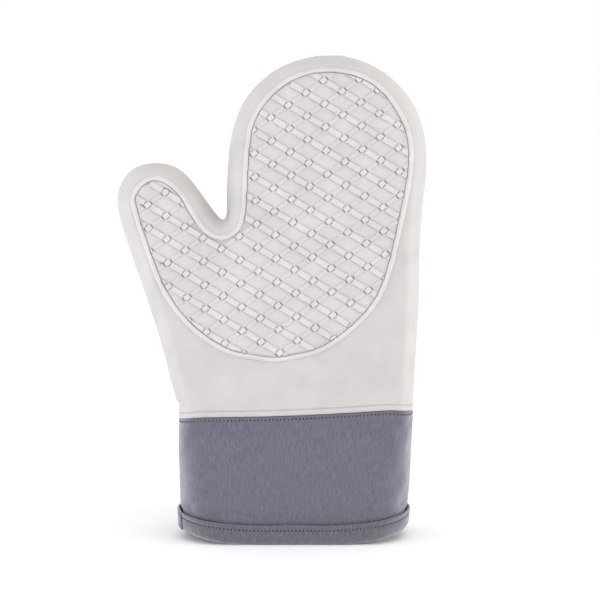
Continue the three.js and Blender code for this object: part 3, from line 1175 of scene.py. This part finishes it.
def cloth_material(name, deep, pale):
    """A plain weave with slubby upright threads."""
    shader = Shader(name, 0.9, 0.2)
    weave = shader.add("ShaderNodeUVMap", uv_map="weave").outputs["UV"]
    streaks = shader.noise(shader.stretched(weave, (2300, 200, 1)), 1, 3)
    slubs = shader.noise(shader.stretched(weave, (900, 90, 1)), 1, 2)
    picks = shader.noise(shader.stretched(weave, (420, 2400, 1)), 1, 2)
    total = shader.maths("ADD", shader.maths("MULTIPLY", streaks, 0.6), shader.maths("MULTIPLY", slubs, 0.15))
    total = shader.maths("ADD", total, shader.maths("MULTIPLY", picks, 0.25))
    shader.colour(shader.ramp(total, [(0.36, deep), (0.64, pale)]))
    shader.bump(total, 0.5 * MM, 0.6)
    shader.set({"Sheen Weight": 0.8, "Sheen Roughness": 0.55, "Sheen Tint": (0.93, 0.9, 1, 1)})
    return shader.material


def fleece_material():
    shader = Shader("wadding_fleece", 1.0, 0.1)
    place = shader.add("ShaderNodeTexCoord").outputs["Object"]
    tufts = shader.noise(place, 500, 4)
    shader.colour(shader.ramp(tufts, [(0.3, (0.62, 0.6, 0.56)), (0.7, (0.85, 0.83, 0.79))]))
    shader.bump(tufts, 0.6 * MM, 0.8)
    return shader.material


def thread_material(name, deep, pale):
    shader = Shader(name, 0.7, 0.3)
    weave = shader.add("ShaderNodeUVMap", uv_map="weave").outputs["UV"]
    ply = shader.noise(shader.stretched(weave, (3000, 3000, 1)), 1, 2)
    shader.colour(shader.ramp(ply, [(0.35, deep), (0.65, pale)]))
    shader.bump(ply, 0.1 * MM, 0.6)
    return shader.material


# ---- Stage, camera and light ----

CAMERA_DISTANCE = 900 * MM
CAMERA_ELEVATION = math.radians(2.5)
CAMERA_TARGET = Vector((17.6 * MM, 0, 147.5 * MM))
VIEW_WIDTH = 376 * MM


def make_camera():
    data = bpy.data.cameras.new("camera")
    camera = linked(bpy.data.objects.new("camera", data))
    back = Vector((0, -math.cos(CAMERA_ELEVATION), math.sin(CAMERA_ELEVATION)))
    camera.location = CAMERA_TARGET + back * CAMERA_DISTANCE
    camera.rotation_euler = (-back).to_track_quat("-Z", "Y").to_euler()
    data.sensor_width = 36
    data.lens = data.sensor_width * CAMERA_DISTANCE / VIEW_WIDTH
    data.clip_end = 20
    bpy.context.scene.camera = camera


def area_light(name, place, size, energy, colour=(1, 1, 1)):
    data = bpy.data.lights.new(name, "AREA")
    data.shape = "SQUARE"
    data.size = size
    data.energy = energy
    data.color = colour
    light = linked(bpy.data.objects.new(name, data))
    light.location = place
    aim = Vector((0, 0, 0.15)) - Vector(place)
    light.rotation_euler = aim.to_track_quat("-Z", "Y").to_euler()


def make_stage():
    scene = bpy.context.scene
    scene.view_settings.view_transform = "Standard"
    world = bpy.data.worlds.new("studio")
    scene.world = world
    world.use_nodes = True
    background = world.node_tree.nodes["Background"]
    background.inputs["Color"].default_value = (1, 1, 1, 1)
    background.inputs["Strength"].default_value = 1.0
    bpy.ops.mesh.primitive_plane_add(size=12, location=(0, 0, 0))
    floor = bpy.context.object
    floor.name = "floor"
    shader = Shader("floor", 1, 0)
    shader.set({"Base Color": (0.95, 0.95, 0.95, 1), "Emission Color": (1, 1, 1, 1)})
    shader.set({"Emission Strength": 0.06})
    floor.data.materials.append(shader.material)
    area_light("right", (1.2, -0.3, 0.25), 0.7, 5.6)
    area_light("left", (-0.75, -0.38, 0), 0.35, 4.8, (0.88, 0.9, 1))
    area_light("top", (0.3, -0.7, 1.4), 0.6, 2)


# ---- The mitt ----

make_camera()
make_stage()
RUBBER = silicone_material("silicone_rubber", 1.0)
# Paler copies of the same silicone: painted light on the pads and cross bars, painted highlight on the bars,
# knots and bead.
PAD_RUBBER_PAINTED_LIGHT = silicone_material("silicone_pads_painted_light", 1.07)
BAR_RUBBER_PAINTED_HIGHLIGHT = silicone_material("silicone_bars_painted_highlight", 1.14)
CUFF_WEAVE = cloth_material("cuff_weave", (0.084, 0.081, 0.11), (0.156, 0.151, 0.191))
BINDING_WEAVE = cloth_material("binding_weave", (0.062, 0.06, 0.076), (0.155, 0.151, 0.176))
LINING_WEAVE = cloth_material("lining_weave", (0.3, 0.295, 0.29), (0.46, 0.455, 0.45))
FLEECE = fleece_material()
THREAD = thread_material("polyester_thread", (0.13, 0.128, 0.15), (0.24, 0.236, 0.27))
# A near-black copy of the thread material, used as painted shade in the needle holes between stitches.
HOLE_PAINTED_SHADE = thread_material("painted_hole_shade", (0.012, 0.012, 0.015), (0.03, 0.03, 0.035))

for side in ("palm", "back"):
    silicone_half(side).finish(f"silicone_{side}", "silicone", [f"silicone_{side}_shell"],
                               RUBBER, PAD_RUBBER_PAINTED_LIGHT, BAR_RUBBER_PAINTED_HIGHLIGHT)
    panel = cuff_panel(side).finish(f"cuff_{side}", "cuff_cloth", [f"cuff_{side}_panel"], CUFF_WEAVE)
    fleece = wadding_half(side).finish(f"wadding_{side}_fleece", "wadding", [f"wadding_{side}"], FLEECE)
    liner = lining_half(side).finish(f"lining_{side}_cloth", "lining_cloth", [f"lining_{side}"], LINING_WEAVE)
hem = hem_binding().finish("hem_strip", "binding_cloth", ["hem_binding"], BINDING_WEAVE)
seam_stitches().finish("seam_stitching", "thread", ["cuff_seam_thread"], THREAD, HOLE_PAINTED_SHADE)
hem_stitches().finish("hem_stitching", "thread", ["hem_thread"], THREAD, HOLE_PAINTED_SHADE)
side_seam(-1).finish("side_seam_left", "thread", ["cuff_side_seam_left"], THREAD)
side_seam(1).finish("side_seam_right", "thread", ["cuff_side_seam_right"], THREAD)
